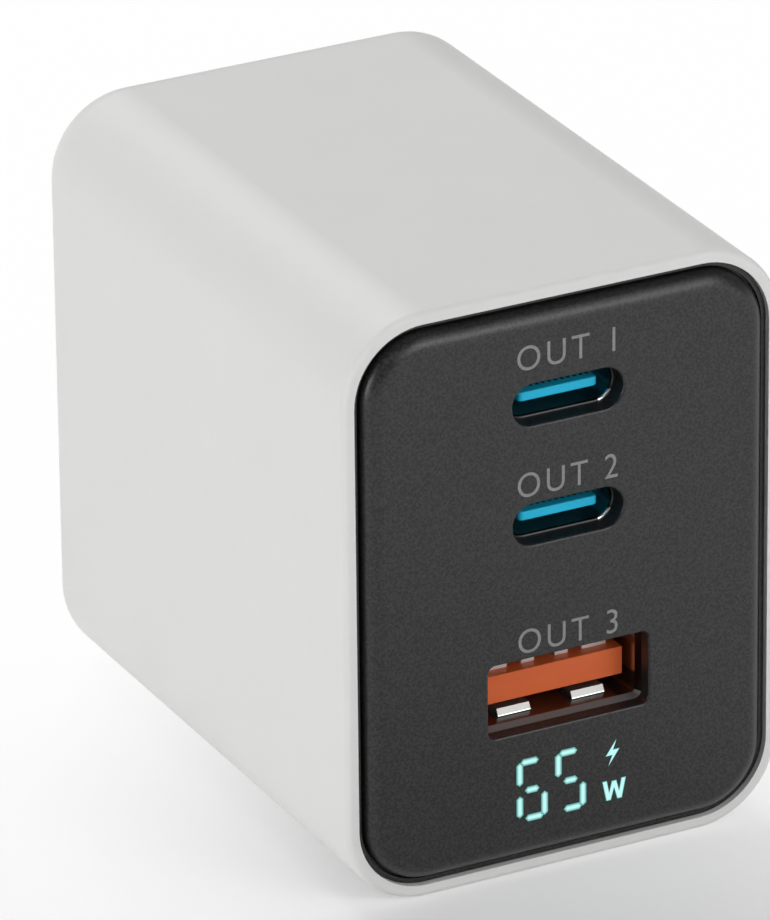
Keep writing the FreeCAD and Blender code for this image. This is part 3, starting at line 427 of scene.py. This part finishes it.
def blade_metal():
    dark = tint(0.60, 0.59, 0.56)
    return rolled_metal("blade_metal", dark, tint(0.72, 0.71, 0.68), 0.2, (1.0, 1.0, 16.0))


def spring_brass():
    dark = tint(0.62, 0.44, 0.16)
    return rolled_metal("spring_brass", dark, tint(0.74, 0.55, 0.24), 0.26, (1.0, 1.0, 12.0))


# Finishes of the inside

def readout_body():
    """White diffusing block round the light bars."""
    finish = Finish("readout_body")
    grain = finish.noise(0.25, 2.0)
    return finish.surface(
        base_color=finish.blend(grain, grey(0.62), grey(0.72)),
        roughness=0.45 + grain * 0.15,
        normal=finish.relief(grain, 0.008, 0.5),
    )


def pin_tin():
    return rolled_metal("pin_tin", grey(0.58), tint(0.70, 0.69, 0.66), 0.3, (1.0, 6.0, 1.0))


def board_green():
    """Green lacquer over copper tracks, with tinned pads."""
    finish = Finish("board_green")
    weave = finish.noise(0.35, 2.0)
    tracks = finish.noise(2.4, 0.0, (1.0, 1.0, 5.0)) > 0.52
    pads = finish.cells(2.6) < 0.16
    lacquer = finish.blend(tracks, tint(0.010, 0.085, 0.035), tint(0.022, 0.16, 0.065))
    return finish.surface(
        base_color=finish.blend(pads, lacquer, tint(0.68, 0.66, 0.60)),
        metallic=pads,
        roughness=0.3 + weave * 0.2,
        normal=finish.relief(tracks + pads + weave * 0.3, 0.03, 0.6),
    )


def ferrite():
    """Pressed grey-black powder with pits."""
    finish = Finish("ferrite")
    pits = finish.noise(0.3, 4.0)
    return finish.surface(
        base_color=finish.blend(pits, grey(0.035), grey(0.085)),
        roughness=0.55 + pits * 0.25,
        normal=finish.relief(pits, 0.02, 0.8),
    )


def winding_tape():
    """Yellow tape in overlapping bands round the coil."""
    finish = Finish("winding_tape")
    height = finish.along("Z")
    band = finish.add("ShaderNodeMath", {"operation": "PINGPONG"}, {0: height, 1: TAPE_BAND})
    crinkle = finish.noise(0.8, 3.0, (1.0, 1.0, 4.0))
    return finish.surface(
        base_color=finish.blend(band * 0.5 + crinkle * 0.2, tint(0.60, 0.42, 0.03), tint(0.80, 0.62, 0.10)),
        roughness=0.28 + crinkle * 0.2,
        normal=finish.relief(band + crinkle * 0.4, 0.05, 0.5),
    )


def moulding_black():
    """Filled black resin."""
    finish = Finish("moulding_black")
    grain = finish.noise(0.12, 3.0)
    return finish.surface(
        base_color=finish.blend(grain, grey(0.012), grey(0.03)),
        roughness=0.45 + grain * 0.25,
        normal=finish.relief(grain, 0.01, 0.7),
    )


def can_metal():
    return rolled_metal("can_metal", grey(0.60), tint(0.72, 0.72, 0.74), 0.26, (8.0, 8.0, 1.0))


def film_box():
    """Smooth buff case with a faint swirl of filler."""
    finish = Finish("film_box")
    swirl = finish.noise(2.0, 4.0)
    return finish.surface(
        base_color=finish.blend(swirl, tint(0.46, 0.40, 0.30), tint(0.58, 0.52, 0.42)),
        roughness=0.25 + swirl * 0.15,
        normal=finish.relief(swirl, 0.01, 0.4),
    )


def copper_wire():
    """Lacquered copper: a clear coat over a warm metal."""
    finish = Finish("copper_wire")
    lines = finish.noise(0.1, 2.0, (1.0, 8.0, 1.0))
    return finish.surface(
        base_color=finish.blend(lines, tint(0.62, 0.25, 0.10), tint(0.76, 0.36, 0.17)),
        metallic=1.0,
        roughness=0.2 + lines * 0.15,
        coat_weight=0.6,
    )


def fuse_ceramic():
    """Off-white fired body with tinned end caps."""
    finish = Finish("fuse_ceramic")
    low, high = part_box("fuse")
    middle = (low.y + high.y) / 2 / MM
    reach = (high.y - low.y) / 2 / MM
    offset = finish.add("ShaderNodeMath", {"operation": "ABSOLUTE"}, {0: finish.along("Y") - middle})
    caps = offset > reach - FUSE_CAP
    glaze = finish.noise(0.6, 3.0)
    body = finish.blend(glaze, tint(0.68, 0.66, 0.60), tint(0.78, 0.77, 0.72))
    return finish.surface(
        base_color=finish.blend(caps, body, tint(0.70, 0.69, 0.66)),
        metallic=caps,
        roughness=0.22 + glaze * 0.18,
    )


def pad_grey():
    """Soft filled silicone."""
    finish = Finish("pad_grey")
    filler = finish.noise(0.4, 3.0)
    return finish.surface(
        base_color=finish.blend(filler, tint(0.30, 0.32, 0.37), tint(0.42, 0.44, 0.49)),
        roughness=0.6 + filler * 0.2,
        normal=finish.relief(filler, 0.03, 0.5),
    )


def spreader_aluminium():
    return rolled_metal("spreader_aluminium", grey(0.64), tint(0.76, 0.76, 0.78), 0.3, (14.0, 1.0, 14.0))


# Pieces

def add_piece(name, mesh, material):
    mesh.materials.clear()
    mesh.materials.append(material)
    piece = bpy.data.objects.new(name, mesh)
    bpy.context.scene.collection.objects.link(piece)
    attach(piece, "housing")
    return piece


def field_surface():
    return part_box("front_panel")[0].y


def on_field(left, bottom, width, height):
    """Takes a flat drawing that faces +Z to the front face, in metres, with its base sunk a little."""
    turn = Matrix.Rotation(math.radians(90), 4, "X")
    place = Vector((left * MM, field_surface() + PRINT_SINK * MM, bottom * MM))
    return Matrix.Translation(place) @ turn @ Matrix.Diagonal((width * MM, height * MM, 1, 1))


def text_mesh(name, words, spacing, swell):
    """The words as a slab one unit wide and tall, with its lower left corner at the origin."""
    letters = bpy.data.curves.new(name, "FONT")
    letters.body = words
    letters.space_character = spacing
    letters.offset = swell
    letters.extrude = PRINT_THICKNESS * MM / 2
    carrier = bpy.data.objects.new(name, letters)
    bpy.context.scene.collection.objects.link(carrier)
    bpy.context.view_layer.update()
    solid = carrier.evaluated_get(bpy.context.evaluated_depsgraph_get())
    mesh = bpy.data.meshes.new_from_object(solid)
    bpy.data.objects.remove(carrier)
    lows = [min(vertex.co[axis] for vertex in mesh.vertices) for axis in range(3)]
    highs = [max(vertex.co[axis] for vertex in mesh.vertices) for axis in range(3)]
    squeeze = Matrix.Diagonal((1 / (highs[0] - lows[0]), 1 / (highs[1] - lows[1]), 1, 1))
    mesh.transform(squeeze @ Matrix.Translation(-Vector(lows)))
    return mesh


def port_labels():
    ink = label_print()
    for number, (words, port, rise, width) in enumerate(LABELS, start=1):
        low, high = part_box(port)
        bottom = (low.z + high.z) / 2 / MM + rise
        mesh = text_mesh(f"label_{number}", words, LABEL_SPACING, LABEL_THINNING)
        mesh.transform(on_field(LABEL_LEFT, bottom, width, LABEL_HEIGHT))
        add_piece(f"label_{number}", mesh, ink)


def readout_centre():
    low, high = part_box("display_module")
    return (low.z + high.z) / 2 / MM


def glowing_slab(drawing, outlines, inset):
    """Adds flat outlines to a drawing, each with a paler core inside its edge, and gives them thickness."""
    core = drawing.verts.layers.float.new("core")
    for outline in outlines:
        face = drawing.faces.new([drawing.verts.new((x, y, 0)) for x, y in outline])
        face.normal_update()
        bmesh.ops.inset_individual(drawing, faces=[face], thickness=inset)
        for vertex in face.verts:
            vertex[core] = 1.0
    faces = list(drawing.faces)
    grown = bmesh.ops.extrude_face_region(drawing, geom=faces)
    raised = [item for item in grown["geom"] if isinstance(item, bmesh.types.BMVert)]
    bmesh.ops.translate(drawing, verts=raised, vec=(0, 0, PRINT_THICKNESS * MM))
    bmesh.ops.recalc_face_normals(drawing, faces=drawing.faces)


def bar_outline(centre, length, upright):
    """A slim bar with pointed ends."""
    half = BAR_WIDTH / 2
    reach = length / 2
    flat = reach - half * BAR_POINT
    points = [(-reach, 0), (-flat, -half), (flat, -half), (reach, 0), (flat, half), (-flat, half)]
    if upright:
        points = [(-y, x) for x, y in points]
    return [(centre[0] + x, centre[1] + y) for x, y in points]


def digit_outlines(centre_x, lit):
    outlines = []
    for name in lit:
        (x, y), length, upright = BARS[name]
        outlines.append(bar_outline((centre_x + x, y), length, upright))
    return outlines


def lit_piece(name, outlines, inset, glow):
    drawing = bmesh.new()
    glowing_slab(drawing, outlines, inset)
    mesh = bpy.data.meshes.new(name)
    drawing.to_mesh(mesh)
    drawing.free()
    mesh.transform(on_field(0, readout_centre(), 1, 1))
    add_piece(name, mesh, glow)


def scaled(outline, centre, size):
    return [(centre[0] + x * size[0], centre[1] + y * size[1]) for x, y in outline]


def readout():
    glow = readout_light()
    for number, (centre_x, lit) in enumerate(zip(DIGIT_CENTRES, (SIX, FIVE)), start=1):
        lit_piece(f"readout_digit_{number}", digit_outlines(centre_x, lit), BAR_CORE, glow)
    lit_piece("readout_bolt", [scaled(BOLT_OUTLINE, BOLT_CENTRE, BOLT_SIZE)], UNIT_CORE, glow)
    mirrored = [(-x, y) for x, y in reversed(UNIT_HALF) if x > 0]
    unit = UNIT_HALF + tuple(mirrored)
    lit_piece("readout_unit", [scaled(unit, UNIT_CENTRE, UNIT_SIZE)], UNIT_CORE, glow)


def dress_nodes():
    makers = (
        case_white, panel_black, plug_white, port_blue, port_orange, shell_steel, contact_gold,
        contact_silver, blade_metal, spring_brass, readout_body, readout_light, pin_tin, board_green,
        ferrite, winding_tape, moulding_black, can_metal, film_box, copper_wire, fuse_ceramic, pad_grey,
        spreader_aluminium,
    )
    finishes = {maker.__name__: maker() for maker in makers}
    for part in frame["record"]["subparts"]:
        mesh = frame["nodes"][part["node"]].data
        mesh.materials.clear()
        mesh.materials.append(finishes[part["material_slot"]])


# Stage

def floor():
    mesh = bpy.data.meshes.new("floor")
    sheet = bmesh.new()
    bmesh.ops.create_grid(sheet, x_segments=1, y_segments=1, size=FLOOR_REACH)
    sheet.to_mesh(mesh)
    sheet.free()
    mesh.transform(Matrix.Translation((0, 0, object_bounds()[0].z - FLOOR_GAP * MM)))
    plane = bpy.data.objects.new("floor", mesh)
    bpy.context.scene.collection.objects.link(plane)
    mesh.materials.append(floor_white())
    plane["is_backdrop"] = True


def floor_white():
    """Pale matt paper, turning plain white to the camera and in gloss and glass away from the shadow."""
    finish = Finish("floor_white")
    seen = finish.add("ShaderNodeLightPath", {}, {}, "Is Camera Ray")
    gloss = finish.add("ShaderNodeLightPath", {}, {}, "Is Glossy Ray")
    glass = finish.add("ShaderNodeLightPath", {}, {}, "Is Transmission Ray")
    centre = tuple(MM * place for place in FLOOR_SHADE_CENTRE)
    ends = {0: finish.place, 1: centre}
    metres = finish.add("ShaderNodeVectorMath", {"operation": "DISTANCE"}, ends, "Value")
    near, far = FLOOR_WHITE_REACH
    span = {0: metres * (1 / MM), 1: near, 2: far}
    fade = finish.add("ShaderNodeMapRange", {"interpolation_type": "SMOOTHSTEP"}, span)
    share = (seen + gloss + glass) * (FLOOR_WHITE_NEAR + fade * (FLOOR_WHITE_FAR - FLOOR_WHITE_NEAR))
    fibres = finish.noise(0.8, 3.0)
    paper = finish.blend(fibres, grey(0.93), grey(0.96))
    return finish.surface(
        base_color=finish.blend(share, paper, grey(0.0)),
        roughness=1.0,
        specular_ior_level=0.0,
        emission_color=share,
        emission_strength=1.0,
    )


def studio_light():
    world = bpy.data.worlds.new("studio")
    world.use_nodes = True
    sky = world.node_tree.nodes["Background"]
    sky.inputs["Color"].default_value = grey(1.0)
    sky.inputs["Strength"].default_value = SKY_STRENGTH
    bpy.context.scene.world = world
    for name, (place, target, size, power) in SOFTBOXES.items():
        softbox(name, place, target, size, power)


def softbox(name, place, target, size, power):
    lamp = bpy.data.lights.new(name, "AREA")
    lamp.shape = "SQUARE"
    lamp.size = size
    lamp.energy = power
    box = bpy.data.objects.new(name, lamp)
    box.location = place
    aim = Vector(target) - Vector(place)
    box.rotation_euler = aim.to_track_quat("-Z", "Y").to_euler()
    bpy.context.scene.collection.objects.link(box)


def camera():
    azimuth = math.radians(VIEW_AZIMUTH)
    elevation = math.radians(VIEW_ELEVATION)
    back = Vector((
        math.sin(azimuth) * math.cos(elevation),
        -math.cos(azimuth) * math.cos(elevation),
        math.sin(elevation),
    ))
    level = Vector((math.cos(azimuth), math.sin(azimuth), 0))
    rise = back.cross(level)
    roll = math.radians(VIEW_ROLL)
    right = math.cos(roll) * level + math.sin(roll) * rise
    up = math.cos(roll) * rise - math.sin(roll) * level
    place = Vector(VIEW_CENTRE) + back * VIEW_DISTANCE + right * VIEW_SLIDE[0] + up * VIEW_SLIDE[1]
    lens = bpy.data.cameras.new("camera")
    lens.sensor_width = SENSOR
    lens.lens = SENSOR * FOCAL_PIXELS / IMAGE_HEIGHT
    lens.clip_start = NEAREST_SEEN * MM
    eye = bpy.data.objects.new("camera", lens)
    eye.matrix_world = Matrix.Translation(place * MM) @ Matrix((right, up, back)).transposed().to_4x4()
    bpy.context.scene.collection.objects.link(eye)
    bpy.context.scene.camera = eye


bpy.context.scene.view_settings.view_transform = "Standard"
dress_nodes()
port_labels()
readout()
floor()
studio_light()
camera()
